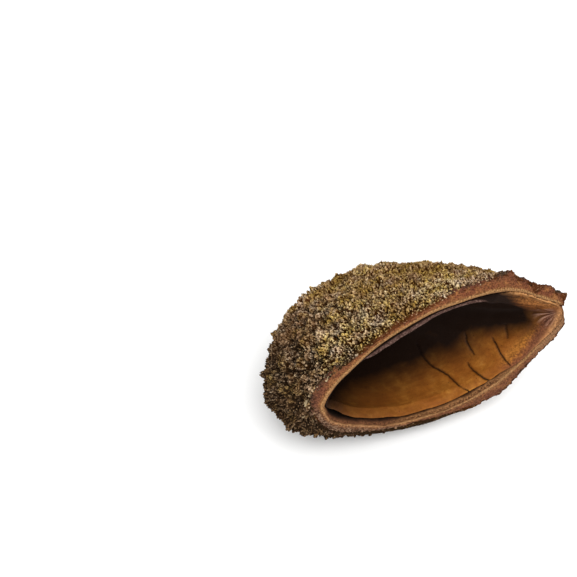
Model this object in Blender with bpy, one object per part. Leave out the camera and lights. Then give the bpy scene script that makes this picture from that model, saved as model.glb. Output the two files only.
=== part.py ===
"""One half of a dried bolsa pod, lying on its side.

The half is one woody shell shaped like a boat: a deep rounded body, a blunt tip at +X, and one long mouth
that looks along -Y. A crust of blunt knobs covers its outside, and a bare rim runs round the mouth up to a
crest. A smooth lining covers the inside. A narrow groove parts it from the rim, except by the tip, where it
rises to the crest as a shelf on the upper side, a slope on the lower side and a throat between them.

The shell is drawn in its own frame first: X runs from base to tip, Y runs from the mouth into the body and Z
across the mouth. It is then turned the way the real half lies, with a small worn spot flat on the ground.
"""

import math
import random

import bmesh
import bpy
from mathutils import Matrix, Vector, noise

MM = 0.001

# The body, measured over the knobs
BODY_LENGTH = 90.0 * MM
BODY_WIDTH = 53.5 * MM
BODY_DEPTH = 45.0 * MM
EGG = -0.11
TIP_TAPER = 0.17
LOWER_SIDE_LESS = 0.075
DEPTH_TO_TIP = 0.25
DEPTH_TIP_LOSS = 0.35
LEAN_TO_BASE = 0.47
RISE_POWER = 1.08
RIM_TUCK_AT_BASE = math.radians(26)

# The tip: a barb on its upper side and a notch where the two margins of the half meet
BARB_LENGTH = 2.6 * MM
BARB_ANGLE = math.radians(9)
BARB_SPREAD = math.radians(6)
NOTCH_DEPTH = 2.0 * MM
NOTCH_SPREAD = math.radians(3.5)
TIP_DETAIL_REACH = 0.3
TIP_DETAIL_INSET = 3.5 * MM

# The crust of knobs
CRUST_DETAIL = 5
KNOB_VARIATION = 0.65 * MM
PIT_DEPTH = 2.0 * MM
KNOB_SHIFT = 0.5 * MM
PIT_SHIFT = 0.25 * MM
LUMP_SIZE = 9.0 * MM
LUMP_HEIGHT = 0.9 * MM
CRUST_FADE = 0.06
CRUST_SEED = 1

# The wall, and the throat of the lining, whose depth grows with the distance from the notch
WALL = 4.9 * MM
LINING_DETAIL = 4
THROAT_START = 1.0 * MM
THROAT_SLOPE = 0.75
THROAT_CURVE = 0.04 / MM

# The rim's crest, by angle in degrees round the mouth, in millimetres in from the body's edge
CREST = (
    (0, 1.0),
    (12, 2.1),
    (20, 3.2),
    (28, 3.5),
    (38, 2.9),
    (48, 2.2),
    (56, 2.6),
    (64, 4.0),
    (76, 4.8),
    (90, 5.6),
    (110, 5.4),
    (122, 4.8),
    (134, 4.1),
    (150, 3.3),
    (165, 2.8),
    (180, 3.6),
    (195, 4.6),
    (210, 5.2),
    (235, 5.4),
    (250, 5.0),
    (268, 4.5),
    (295, 4.8),
    (306, 4.4),
    (318, 3.3),
    (328, 2.6),
    (342, 1.4),
)
# The rim out to its crest: share of the way there, then depth behind the plane of the mouth in millimetres
RIM_PROFILE = ((0.3, -0.55), (0.7, -1.05), (1.0, -1.35))
# What lies inside the crest, down to the lining's own edge: distance in from the crest, then depth, both in
# millimetres. The lip is on the upper side, the thin edge round the base and low down, the shelf and the slope
# by the tip.
LIP = ((0.9, 0.6), (1.05, 2.4), (1.7, 0.0), (2.75, 0.4), (3.05, 2.4))
THIN_EDGE = ((0.9, 0.6), (1.05, 2.4), (1.4, 0.4), (1.8, 1.1), (2.2, 2.8))
SHELF = ((0.5, -1.0), (1.0, -0.9), (1.6, -0.7), (5.4, 0.8), (7.4, 4.4))
SLOPE = ((0.4, -1.1), (0.8, -1.0), (1.2, -0.8), (3.4, 1.0), (5.2, 4.2))
RINGS = len(RIM_PROFILE) + len(LIP)
RIM_WAVE = 0.45 * MM
RIM_WAVE_SIZE = 7.0 * MM
SEAM_MERGE = 0.1 * MM

# How it lies: the mouth leans back, the tip is raised, and the lowest knobs are worn flat
LEAN_BACK = math.radians(13)
TIP_UP = math.radians(11)
WORN_DEPTH = 1.2 * MM

SHARP_ANGLE = math.radians(30)


def remove_everything():
    for thing in list(bpy.data.objects):
        bpy.data.objects.remove(thing)


def plain_material(name, colour, roughness):
    material = bpy.data.materials.new(name)
    material.use_nodes = True
    shader = material.node_tree.nodes["Principled BSDF"]
    shader.inputs["Base Color"].default_value = (*colour, 1.0)
    shader.inputs["Roughness"].default_value = roughness
    shader.inputs["Metallic"].default_value = 0.0
    return material


def bump_at(angle, centre, spread):
    """A smooth bump, 1 at centre and fading over spread, on the circle of angles."""
    away = math.remainder(angle - centre, math.tau)
    return math.exp(-((away / spread) ** 2))


def tip_detail(angle):
    """How far the barb pushes the outline out towards +X, less what the notch takes away."""
    barb = BARB_LENGTH * bump_at(angle, BARB_ANGLE, BARB_SPREAD)
    return barb - NOTCH_DEPTH * bump_at(angle, 0.0, NOTCH_SPREAD)


def outline(angle):
    """The body's widest outline, at this angle about its middle: 0 is the tip and pi the base."""
    along, across = math.cos(angle), math.sin(angle)
    narrowing = 1.0 - EGG * along - TIP_TAPER * max(along, 0.0) ** 2
    if across < 0.0:
        narrowing -= LOWER_SIDE_LESS * (1.0 + along) / 2
    return BODY_LENGTH / 2 * along, BODY_WIDTH / 2 * across * narrowing


def tuck_at(angle):
    """How far past its widest outline the body curls in again before it meets the mouth."""
    return RIM_TUCK_AT_BASE * (1.0 - math.cos(angle)) / 2


def depth_at(x):
    along = x / (BODY_LENGTH / 2)
    return BODY_DEPTH * (1.0 + DEPTH_TO_TIP * along - DEPTH_TIP_LOSS * max(along, 0.0) ** 2)


def body_point(angle, rise):
    """A point of the body's outside. Rise is 0 at the mouth's edge and 1 at the deepest point."""
    tuck = tuck_at(angle)
    climb = -tuck + rise * (math.pi / 2 + tuck)
    x, z = (math.cos(climb) * part for part in outline(angle))
    inward = (math.sin(climb) + math.sin(tuck)) / (1.0 + math.sin(tuck))
    y = depth_at(x) * inward**RISE_POWER
    x += tip_detail(angle) * max(1.0 - rise / TIP_DETAIL_REACH, 0.0)
    return Vector((x - LEAN_TO_BASE * y, y, z))


def around(knots, angle):
    """A smooth curve through knots of (degrees, value), closed round the circle, at this angle."""
    degrees = math.degrees(angle) % 360.0
    before = [(place - 360.0, value) for place, value in knots[-2:]]
    after = [(place + 360.0, value) for place, value in knots[:2]]
    ring = [*before, *knots, *after]
    span = max(index for index in range(1, len(ring) - 2) if ring[index][0] <= degrees)
    (p0, v0), (p1, v1), (p2, v2), (p3, v3) = ring[span - 1 : span + 3]
    width = p2 - p1
    t = (degrees - p1) / width
    value = (2 * t**3 - 3 * t**2 + 1) * v1 + (3 * t**2 - 2 * t**3) * v2
    value += (t**3 - 2 * t**2 + t) * width * (v2 - v0) / (p2 - p0)
    return value + (t**3 - t**2) * width * (v3 - v1) / (p3 - p1)


def smooth_step(low, high, value):
    share = min(max((value - low) / (high - low), 0.0), 1.0)
    return share * share * (3.0 - 2.0 * share)


def edge_profile(angle):
    """The profile inside the crest: the lip, the thin edge, the shelf and the slope, blended by the angle."""
    degrees = math.degrees(math.remainder(angle, math.tau))
    shelf = smooth_step(-5.0, 7.0, degrees) * smooth_step(58.0, 50.0, degrees)
    slope = smooth_step(7.0, -5.0, degrees) * smooth_step(-62.0, -50.0, degrees)
    lip = smooth_step(50.0, 58.0, degrees) * smooth_step(150.0, 125.0, degrees)
    weights = (lip, 1.0 - lip - shelf - slope, shelf, slope)
    profile = []
    for points in zip(LIP, THIN_EDGE, SHELF, SLOPE):
        blend = [sum(weight * point[side] for weight, point in zip(weights, points)) for side in (0, 1)]
        profile.append(blend)
    return profile


def rim_point(angle, inset, depth):
    """A point inset from the edge of the mouth, in its plane, and depth behind that plane."""
    step = 0.01
    before, edge, after = (
        Vector(outline(angle + turn)) * math.cos(tuck_at(angle + turn)) for turn in (-step, 0.0, step)
    )
    ahead = (after - before).normalized()
    x, z = edge + inset * Vector((-ahead.y, ahead.x))
    x += tip_detail(angle) * max(1.0 - inset / TIP_DETAIL_INSET, 0.0)
    wave = RIM_WAVE * noise.noise(Vector((edge.x, 0.0, edge.y)) / RIM_WAVE_SIZE)
    return Vector((x, depth + wave, z))


def ring_point(angle, ring):
    """A point of one of the rings that lie one inside the other, from the body's edge to the lining's."""
    crest = around(CREST, angle)
    if ring < len(RIM_PROFILE):
        share, depth = RIM_PROFILE[ring]
        return rim_point(angle, share * crest * MM, depth * MM)
    inward, depth = edge_profile(angle)[ring - len(RIM_PROFILE)]
    return rim_point(angle, (crest + inward) * MM, depth * MM)


def lining_point(angle, rise):
    """A point of the lining, a dome over its own edge that stays one wall inside the body."""
    edge = ring_point(angle, RINGS - 1)
    climb = rise * math.pi / 2
    x, z = math.cos(climb) * edge.x, math.cos(climb) * edge.z
    y = (depth_at(x) - WALL - edge.y) * math.sin(climb) ** RISE_POWER
    if rise > 0.0:
        far = math.hypot(BODY_LENGTH / 2 - x, z)
        throat = THROAT_START + THROAT_SLOPE * far + THROAT_CURVE * far**2 - edge.y
        y = (y**-4 + max(throat, 0.1 * MM) ** -4) ** -0.25
    return Vector((x - LEAN_TO_BASE * y, edge.y + y, z))


def half_ball(detail):
    """The upper half of an icosphere, with its equator as its edge."""
    bm = bmesh.new()
    bmesh.ops.create_icosphere(bm, subdivisions=detail, radius=1.0)
    below = [vert for vert in bm.verts if vert.co.z < -1e-4]
    bmesh.ops.delete(bm, geom=below, context="VERTS")
    return bm


def keep_places(bm):
    """Stores each vertex's angle about the middle and rise from the mouth, from its place on the ball."""
    angle_layer = bm.verts.layers.float.new("angle")
    rise_layer = bm.verts.layers.float.new("rise")
    for vert in bm.verts:
        spot = vert.co.normalized()
        vert[angle_layer] = math.atan2(spot.y, spot.x)
        vert[rise_layer] = max(math.asin(min(spot.z, 1.0)) / (math.pi / 2), 0.0)
    return angle_layer, rise_layer


def face_along_y(bm, way):
    """Turns the faces all one way round, with the deepest vertex's normal pointing along Y in this way."""
    bmesh.ops.recalc_face_normals(bm, faces=bm.faces)
    bm.normal_update()
    deepest = max(bm.verts, key=lambda vert: vert.co.y)
    if deepest.normal.y * way < 0.0:
        bmesh.ops.reverse_faces(bm, faces=bm.faces)
        bm.normal_update()


def make_crust():
    """The outside: every vertex of the ball is a knob, and every triangle between three knobs is a pit."""
    draw = random.Random(CRUST_SEED)
    bm = half_ball(CRUST_DETAIL)
    knob_edges = [edge for edge in bm.edges if not edge.is_boundary]
    pits = set(bmesh.ops.poke(bm, faces=bm.faces)["verts"])
    bmesh.ops.rotate_edges(bm, edges=knob_edges)
    angle_layer, rise_layer = keep_places(bm)
    for vert in bm.verts:
        vert.co = body_point(vert[angle_layer], vert[rise_layer])
    face_along_y(bm, 1.0)
    moves = {}
    for vert in bm.verts:
        fade = min(vert[rise_layer] / CRUST_FADE, 1.0)
        lump = LUMP_HEIGHT * noise.noise(vert.co / LUMP_SIZE)
        if vert in pits:
            height, shift = -PIT_DEPTH, PIT_SHIFT
        else:
            height, shift = KNOB_VARIATION * draw.uniform(-1.0, 1.0), KNOB_SHIFT
        sideways = Vector([draw.uniform(-1.0, 1.0) for axis in range(3)])
        sideways -= vert.normal * sideways.dot(vert.normal)
        moves[vert] = fade * (vert.normal * (height + lump) + sideways * shift)
    for vert, move in moves.items():
        vert.co += move
    return bm, angle_layer


def make_lining():
    """The inside, from the rim's inner edge to its deepest point."""
    bm = half_ball(LINING_DETAIL)
    border = [edge for edge in bm.edges if edge.is_boundary]
    bmesh.ops.subdivide_edges(bm, edges=border, cuts=1)
    bmesh.ops.triangulate(bm, faces=bm.faces)
    angle_layer, rise_layer = keep_places(bm)
    for vert in bm.verts:
        vert.co = lining_point(vert[angle_layer], vert[rise_layer])
    face_along_y(bm, -1.0)
    return bm


def add_rim(bm, angle_layer, slot):
    """Grows the rim from the crust's edge, one loop for each ring, in to the lining's edge."""
    loop = [edge for edge in bm.edges if edge.is_boundary]
    for ring in range(RINGS):
        grown = bmesh.ops.extrude_edge_only(bm, edges=loop)["geom"]
        for part in grown:
            if isinstance(part, bmesh.types.BMVert):
                part.co = ring_point(part[angle_layer], ring)
            elif isinstance(part, bmesh.types.BMFace):
                part.material_index = slot
        loop = [part for part in grown if isinstance(part, bmesh.types.BMEdge) and part.is_boundary]


def lay_down(bm):
    """Turns the shell the way it lies, its ground at Z 0 and the middle of its box over the origin."""
    turn = Matrix.Rotation(-TIP_UP, 4, "Y") @ Matrix.Rotation(-LEAN_BACK, 4, "X")
    bmesh.ops.transform(bm, matrix=turn, verts=bm.verts)
    spans = [[vert.co[axis] for vert in bm.verts] for axis in range(3)]
    x_middle, y_middle = ((min(span) + max(span)) / 2 for span in spans[:2])
    ground = min(spans[2]) + WORN_DEPTH
    bmesh.ops.translate(bm, vec=(-x_middle, -y_middle, -ground), verts=bm.verts)


def wear_flat(pod, cutters):
    """Takes off what reaches below the ground, which leaves the small flat spot that the half rests on."""
    size = 2 * BODY_LENGTH
    bpy.ops.mesh.primitive_cube_add(size=size, location=(0.0, 0.0, -size / 2))
    ground = bpy.context.object
    ground.name = "ground_cutter"
    ground.hide_render = True
    ground.display_type = "WIRE"
    for collection in list(ground.users_collection):
        collection.objects.unlink(ground)
    cutters.objects.link(ground)
    worn = pod.modifiers.new("worn_flat", "BOOLEAN")
    worn.operation = "DIFFERENCE"
    worn.object = ground


def make_pod_half(collection):
    crust_slot, rim_slot, lining_slot = range(3)
    bm, angle_layer = make_crust()
    add_rim(bm, angle_layer, rim_slot)
    lining = make_lining()
    lining_mesh = bpy.data.meshes.new("lining")
    for face in lining.faces:
        face.material_index = lining_slot
    lining.to_mesh(lining_mesh)
    lining.free()
    bm.from_mesh(lining_mesh)
    bpy.data.meshes.remove(lining_mesh)
    seam = [vert for vert in bm.verts if vert.is_boundary]
    bmesh.ops.remove_doubles(bm, verts=seam, dist=SEAM_MERGE)
    bmesh.ops.recalc_face_normals(bm, faces=bm.faces)
    lay_down(bm)
    mesh = bpy.data.meshes.new("pod_half")
    bm.to_mesh(mesh)
    bm.free()
    mesh.materials.append(plain_material("knobbly_crust", (0.19, 0.135, 0.06), 0.92))
    mesh.materials.append(plain_material("bare_rim", (0.26, 0.105, 0.045), 0.8))
    mesh.materials.append(plain_material("smooth_lining", (0.32, 0.145, 0.03), 0.5))
    mesh.shade_smooth()
    mesh.set_sharp_from_angle(angle=SHARP_ANGLE)
    pod = bpy.data.objects.new("pod_half", mesh)
    collection.objects.link(pod)
    return pod


def main():
    remove_everything()
    parts = bpy.data.collections.new("bolsa_pod")
    cutters = bpy.data.collections.new("cutters")
    for collection in (parts, cutters):
        bpy.context.scene.collection.children.link(collection)
    wear_flat(make_pod_half(parts), cutters)


main()
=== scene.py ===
"""The looks of one half of a dried bolsa pod: its knobbly crust, bare rim, lip and smooth lining."""

import math

import bpy
import numpy as np
from mathutils import Matrix, Vector, kdtree, noise


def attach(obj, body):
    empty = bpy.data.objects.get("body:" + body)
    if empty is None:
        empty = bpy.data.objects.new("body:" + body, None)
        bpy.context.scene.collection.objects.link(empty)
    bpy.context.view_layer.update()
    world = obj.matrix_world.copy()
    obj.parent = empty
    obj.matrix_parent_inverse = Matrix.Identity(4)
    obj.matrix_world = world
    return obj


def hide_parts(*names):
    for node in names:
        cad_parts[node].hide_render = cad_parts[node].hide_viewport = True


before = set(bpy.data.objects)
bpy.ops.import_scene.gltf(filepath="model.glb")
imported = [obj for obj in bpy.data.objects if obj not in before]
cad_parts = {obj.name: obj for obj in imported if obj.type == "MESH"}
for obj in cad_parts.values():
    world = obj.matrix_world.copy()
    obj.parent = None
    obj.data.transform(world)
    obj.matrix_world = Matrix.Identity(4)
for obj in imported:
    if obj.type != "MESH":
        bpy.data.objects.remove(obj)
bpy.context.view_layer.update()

# Lengths are in millimetres until a mesh is made. The shell is drawn in its own frame, as the solid is:
# X runs from base to tip, Y from the mouth into the body and Z across the mouth.
BODY_LENGTH = 90.0
BODY_WIDTH = 53.5
BODY_DEPTH = 45.0
EGG = -0.11
TIP_TAPER = 0.17
LOWER_SIDE_LESS = 0.075
DEPTH_TO_TIP = 0.25
DEPTH_TIP_LOSS = 0.35
LEAN_TO_BASE = 0.47
RISE_POWER = 1.08
RIM_TUCK_AT_BASE = math.radians(26)
WALL = 4.9

# How the half lies, and where its own origin lands in the row frame
LEAN_BACK = math.radians(13)
TIP_UP = math.radians(11)
DRAWN_AT = np.array((2.163, -19.8305, 29.423))
TURN = np.array(Matrix.Rotation(-TIP_UP, 3, "Y") @ Matrix.Rotation(-LEAN_BACK, 3, "X"))
MM_PER_METRE = 1000.0

# A point in the hollow, from which a surface is seen to face outward or inward
INNER_POINT = (-10.0, 15.0, 0.0)

# The crust: a sponge of knobs that have grown together, with pits this wide and deep between them
CRUST_CELLS = 590
KNOB_SEED = 5
KNOB_SPACING = 0.95
KNOB_WALL = 0.25
PIT_SIZE = 0.62
PIT_DEPTH = 1.4
KNOB_WANDER = 0.35

# How far the crust is raised, how far it wraps past the mouth's edge and over what rise its margin flares
CRUST_RISE = -0.7
CRUST_WRAP = 0.1
MARGIN_FADE = 0.05

# The crust is flattened where it would come closer to the ground than this
GROUND_GAP = 0.02

# Larger lumps in the crust, and the fine grit on it
LUMP_SIZE = 9.0
CLUMP_SIZE = 3.4
CLUSTER_SIZE = 1.7
GRIT_SIZE = 0.45

# The crust's edge: how far it tucks in past where it shows, how far it stands off the band, and how far
# it turns down at the end
EDGE_TUCK = 1.1
EDGE_LIFT = 0.35
EDGE_TURN = 1.6

# On the crust by the base, in the shell's own frame: a swelling, a dent behind it, a crevice and pale chips
SWELLING = (-44.0, 4.5, -6.8)
SWELLING_SIZE = 3.8
SWELLING_HEIGHT = 0.9
DENT = (-47.0, 25.0, 6.5)
DENT_SIZE = 7.0
DENT_DEPTH = 1.9
CREVICE = ((-47.0, 8.5, -1.4), (-45.4, 6.3, -0.9), (-43.3, 3.5, 0.2), (-41.6, 1.8, 0.3))
CREVICE_WIDTH = 0.75
CREVICE_DEPTH = 2.0
CHIP_HEIGHT = 0.4
CHIPS = (
    (-32.2, 0.0, 14.4, 1.0), (-40.3, 1.0, 7.4, 0.55), (-38.5, 0.8, 9.6, 0.4), (-42.2, 1.2, 2.4, 0.5),
)

# Round the mouth, by angle in degrees, in millimetres in from the outline: where the crust ends,
# how far the ragged margin stands out, and where the rim's crest runs
CRUST_EDGE = (
    (0, -0.8), (20, -0.6), (40, -1.0), (48, -2.4), (54, -2.2), (60, -0.8), (66, 0.2), (75, 0.8),
    (81, 1.8), (88, 2.6), (95, 2.9), (117, 2.8), (127, 2.1), (134, 1.1), (142, -0.1), (152, -0.8),
    (163, -0.3), (173, 0.6), (182, 1.4), (191, 1.7), (204, 1.4), (216, 2.0), (228, 2.8), (240, 3.0),
    (262, 2.9), (272, 1.8), (280, 0.2), (288, -1.0), (300, -1.2), (310, -0.2), (318, 0.8), (330, -0.6),
    (340, -1.5),
)
FLARE = (
    (0, -0.6), (3, 0.5), (5, 2.3), (7.5, 3.4), (10, 2.4), (14, 1.3), (22, 1.1), (26, 0.1), (30.5, -2.5),
    (34, -1.0), (38, 0.6), (42, 1.0), (45, 1.4), (48, 3.7), (51, 3.2), (54, 2.4), (58, 1.5), (66, 0.3),
    (75, 0.0), (90, 0.0), (130, 0.2), (145, 0.8), (155, 1.2), (165, 0.6), (180, 0.0), (198, 0.2),
    (203, 0.0), (208, -0.4), (216, -0.6), (228, -0.6), (240, -0.6), (248, -0.3), (256, -0.1),
    (262, 0.4), (268, 0.3), (273, 0.3), (279, 1.1), (283, 1.9), (287, 1.4), (291, 2.1), (295, 2.5),
    (299, 2.2), (303, 1.4), (308, 0.5), (313, 0.2), (317, 0.1), (320.5, -0.5), (324, 0.7), (328, 0.4),
    (331.5, 1.5), (335, 1.3), (339, 2.0), (343.5, 2.2), (347, 1.3), (351, 0.2), (355, -0.4),
)
CREST = (
    (0, 0.0), (6, 0.4), (11, 1.2), (16, 2.1), (22, 2.7), (30, 2.8), (40, 2.4), (50, 2.2), (56, 2.5),
    (62, 2.9), (70, 3.3), (80, 3.5), (90, 3.5), (110, 3.5), (120, 3.5), (130, 3.4), (140, 3.1),
    (150, 2.8), (160, 2.5), (166, 2.7), (172, 3.5), (180, 4.2), (190, 4.6), (200, 5.2), (210, 5.7),
    (220, 5.9), (230, 5.7), (240, 5.3), (250, 5.0), (262, 4.75), (272, 4.6), (282, 4.35), (292, 4.2),
    (302, 4.35), (312, 4.4), (321, 4.1), (330, 3.1), (338, 1.8), (345, 0.7), (352, 0.1),
)

# Round the mouth, in the same way: how wide the crest's inner slope is, and how far the lining has
# shrunk from it
BAND = (
    (0, 0.6), (15, 1.1), (30, 1.2), (45, 1.4), (56, 1.7), (70, 1.85), (120, 1.85), (130, 1.9),
    (145, 1.8), (160, 1.7), (170, 1.4), (180, 1.3), (210, 1.3), (235, 1.4), (255, 1.3), (275, 1.4),
    (288, 1.5), (298, 1.1), (308, 0.6), (320, 0.4), (345, 0.35),
)
GAP = (
    (0, 0.0), (90, 0.0), (155, 0.0), (165, 0.0), (170, 0.2), (176, 0.8), (184, 1.4), (195, 1.5),
    (208, 0.8), (222, 0.2), (236, 0.4), (243, 0.3), (250, 0.0), (256, 0.0), (310, 0.0),
)
# How wide the lip is, as a share of its widest
LIP_WIDE = (
    (0, 1.0), (58, 1.0), (66, 0.72), (78, 0.7), (90, 0.95), (104, 1.05), (114, 0.9), (122, 0.5),
    (200, 0.5),
)

# The bare band between the margin and the crest, as (share of the way, depth behind the mouth)
BAND_DEPTH = ((0.0, 0.2), (0.3, -0.55), (0.6, -0.95), (0.85, -1.2), (1.0, -1.35))

# Parts of the mouth, in degrees: where each begins, is full, begins to fade and ends
LOWER_EDGE = (190, 215, 272, 286)
CRUMBLY_MARGIN = (160, 176, 235, 268)
# DARK_INNER: where the band inside the crest by the base gets painted shade
DARK_INNER = (166, 178, 240, 254)
LOW_RIDGE = (236, 252, 294, 310)
SHELF_SPAN = (-5, 7, 50, 58)
SLOPE_SPAN = (-62, -50, -5, 7)
LIP_SPAN = (50, 58, 117, 126)
LIP_CORNER = 54

# An ellipse about as long and wide as the mouth, for noise that runs along the rim, and the rim's own wave
RUN_LENGTH = 40.0
RUN_WIDTH = 26.0
WAVE_HEIGHT = 0.3
WAVE_LENGTH = 7.0

# A small valley across the rim at the tip
VALLEY_WIDTH = 1.4

# The throat by the tip: how deep the lining may reach there, and how that grows away from the tip. It lies
# above a line that slants across the mouth.
THROAT_START = 1.0
THROAT_SLOPE = 0.75
THROAT_CURVE = 0.04
THROAT_SLANT = 0.7
THROAT_LINE = 21.2

# The fibres in the throat fan out from the notch at the tip
NOTCH = (45.0, 0.0, 0.0)
FIBRES_PER_RADIAN = 24.0
FIBRE_LENGTH = 12.0
FINER_FIBRES = (2.3, 1.5, 1.0)

RIM_COLUMNS = 1200
RIM_ROWS = 50
LINING_CELLS = 290
LIP_RINGS = 36


def unit(value):
    """The value, held between 0 and 1."""
    return np.clip(value, 0.0, 1.0)


def bump_at(angle, centre, spread):
    """A smooth bump on the circle of angles: 1 at centre and fading over spread, both in degrees."""
    away = (angle - math.radians(centre) + math.pi) % math.tau - math.pi
    return np.exp(-((away / math.radians(spread)) ** 2))


def smooth_step(low, high, value):
    """0 at low and 1 at high, with a smooth rise between them. High may be less than low."""
    share = unit((value - low) / (high - low))
    return share * share * (3.0 - 2.0 * share)


def between(span, value):
    """1 in the middle of a span of (begins, full, begins to fade, ends), and 0 outside it."""
    begins, full, fades, ends = span
    return smooth_step(begins, full, value) * smooth_step(ends, fades, value)


def distance_from(points, spot):
    return np.linalg.norm(points - np.array(spot), axis=-1)


def tree_of(points):
    """A search tree that finds the nearest of these points."""
    tree = kdtree.KDTree(len(points))
    for index, point in enumerate(points.tolist()):
        tree.insert(point, index)
    tree.balance()
    return tree


def along_rim(angle, beside):
    """Places for noise that runs along the rim."""
    return np.stack((RUN_LENGTH * np.cos(angle), beside, RUN_WIDTH * np.sin(angle)), axis=-1)


def noise_at(points, size, seed=0):
    """Smooth noise from -1 to 1 at each point, with lumps about this size. Size may differ by axis."""
    spots = points.reshape(-1, 3) / np.asarray(size) + 31.7 * seed
    values = np.fromiter((noise.noise(spot) for spot in spots.tolist()), float, len(spots))
    return values.reshape(points.shape[:-1])


def around(knots, angle):
    """A smooth curve through knots of (degrees, value), closed round the circle, at these angles."""
    places = np.array([knot[0] for knot in knots], float)
    values = np.array([knot[1] for knot in knots], float)
    places = np.concatenate((places[-2:] - 360.0, places, places[:3] + 360.0))
    values = np.concatenate((values[-2:], values, values[:3]))
    slopes = np.gradient(values, places)
    degrees = np.degrees(angle) % 360.0
    span = np.clip(np.searchsorted(places, degrees, side="right") - 1, 0, len(places) - 2)
    width = places[span + 1] - places[span]
    t = (degrees - places[span]) / width
    start, end = values[span], values[span + 1]
    rise = (2 * t**3 - 3 * t**2 + 1) * start + (3 * t**2 - 2 * t**3) * end
    return rise + width * ((t**3 - 2 * t**2 + t) * slopes[span] + (t**3 - t**2) * slopes[span + 1])


def outline(angle):
    """The body's widest outline, at this angle about its middle: 0 is the tip and pi the base."""
    along, across = np.cos(angle), np.sin(angle)
    narrowing = 1.0 - EGG * along - TIP_TAPER * np.maximum(along, 0.0) ** 2
    narrowing = narrowing - np.where(across < 0.0, LOWER_SIDE_LESS * (1.0 + along) / 2, 0.0)
    return BODY_LENGTH / 2 * along, BODY_WIDTH / 2 * across * narrowing


def tuck_at(angle):
    return RIM_TUCK_AT_BASE * (1.0 - np.cos(angle)) / 2


def depth_at(x):
    along = x / (BODY_LENGTH / 2)
    return BODY_DEPTH * (1.0 + DEPTH_TO_TIP * along - DEPTH_TIP_LOSS * np.maximum(along, 0.0) ** 2)


def body_point(angle, rise):
    """A point of the body's outside. Rise is 0 at the mouth's edge and 1 at the deepest point."""
    tuck = tuck_at(angle)
    climb = -tuck + rise * (math.pi / 2 + tuck)
    x, z = (np.cos(climb) * part for part in outline(angle))
    inward = np.maximum((np.sin(climb) + np.sin(tuck)) / (1.0 + np.sin(tuck)), 0.0)
    y = depth_at(x) * inward**RISE_POWER
    out = around(FLARE, angle) * np.exp(-((rise / MARGIN_FADE) ** 2))
    ahead = edge_direction(angle)
    return np.stack((x - LEAN_TO_BASE * y + out * ahead[..., 1], y, z - out * ahead[..., 0]), axis=-1)


def edge_direction(angle):
    """The unit direction, in x and z, in which the mouth's edge runs."""
    step = 0.01
    before, after = (
        np.stack(outline(near), axis=-1) * np.cos(tuck_at(near))[..., None]
        for near in (angle - step, angle + step)
    )
    ahead = after - before
    return ahead / np.linalg.norm(ahead, axis=-1, keepdims=True)


def rim_point(angle, inset, depth):
    """A point inset from the edge of the mouth, in its plane, and depth behind that plane."""
    x, z = (np.cos(tuck_at(angle)) * part for part in outline(angle))
    ahead = edge_direction(angle)
    return np.stack((x - inset * ahead[..., 1], depth + 0.0 * x, z + inset * ahead[..., 0]), axis=-1)


def disc_grid(cells):
    """A square grid bent onto a disc: each corner's angle and reach, from 0 in the middle to 1."""
    line = np.linspace(-1.0, 1.0, cells + 1)
    u, v = np.meshgrid(line, line, indexing="ij")
    wide = np.abs(u) > np.abs(v)
    reach = np.where(wide, u, v)
    low = np.where(wide, v, u)
    share = np.divide(low, reach, out=np.zeros_like(low), where=np.abs(reach) > 1e-12)
    angle = np.where(wide, math.pi / 4 * share, math.pi / 2 - math.pi / 4 * share)
    return np.where(reach < 0.0, angle + math.pi, angle), np.abs(reach)


def grid_normals(points, outward):
    """The unit normal at each corner of a grid, turned so that it points away from the inner point."""
    normals = np.cross(np.gradient(points, axis=0), np.gradient(points, axis=1))
    normals = normals / np.maximum(np.linalg.norm(normals, axis=-1, keepdims=True), 1e-12)
    facing = np.sum(normals * (points - np.array(INNER_POINT)), axis=-1)
    return normals if (np.median(facing) > 0.0) == outward else -normals


def lie_down(points):
    """From the shell's own frame to the row frame."""
    return points @ TURN.T + DRAWN_AT


def grid_quads(rows, columns, closed):
    """The quads of a grid of corners. A closed grid joins its last row to its first."""
    index = np.arange(rows * columns).reshape(rows, columns)
    here, right = index[:, :-1], index[:, 1:]
    if closed:
        below, below_right = np.roll(here, -1, axis=0), np.roll(right, -1, axis=0)
    else:
        below, below_right = here[1:], right[1:]
        here, right = here[:-1], right[:-1]
    return np.stack((here, right, below_right, below), axis=-1).reshape(-1, 4)


def make_piece(name, points, quads, outward, material, attributes):
    """A mesh of quads in the row frame, on the root body, standing for the solid."""
    flat = lie_down(points.reshape(-1, 3))
    used = np.unique(quads)
    lookup = np.zeros(len(flat), int)
    lookup[used] = np.arange(len(used))
    quads, flat = lookup[quads], flat[used]
    corner = flat[quads]
    across = np.cross(corner[:, 2] - corner[:, 0], corner[:, 3] - corner[:, 1])
    centre = lie_down(np.array([INNER_POINT]))[0]
    facing = np.sum(across * (corner.mean(axis=1) - centre), axis=-1)
    if (np.median(facing) > 0.0) != outward:
        quads = quads[:, ::-1]
    mesh = bpy.data.meshes.new(name)
    mesh.vertices.add(len(flat))
    mesh.vertices.foreach_set("co", (flat / MM_PER_METRE).astype(np.float32).ravel())
    mesh.loops.add(quads.size)
    mesh.loops.foreach_set("vertex_index", quads.astype(np.int32).ravel())
    mesh.polygons.add(len(quads))
    mesh.polygons.foreach_set("loop_start", np.arange(0, quads.size, 4, dtype=np.int32))
    mesh.update(calc_edges=True)
    mesh.shade_smooth()
    for label, values in attributes.items():
        layer = mesh.attributes.new(label, "FLOAT", "POINT")
        layer.data.foreach_set("value", values.ravel()[used].astype(np.float32))
    mesh.materials.append(material)
    piece = bpy.data.objects.new(name, mesh)
    bpy.context.scene.collection.objects.link(piece)
    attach(piece, "root")
    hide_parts("pod_half")
    return piece


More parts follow.
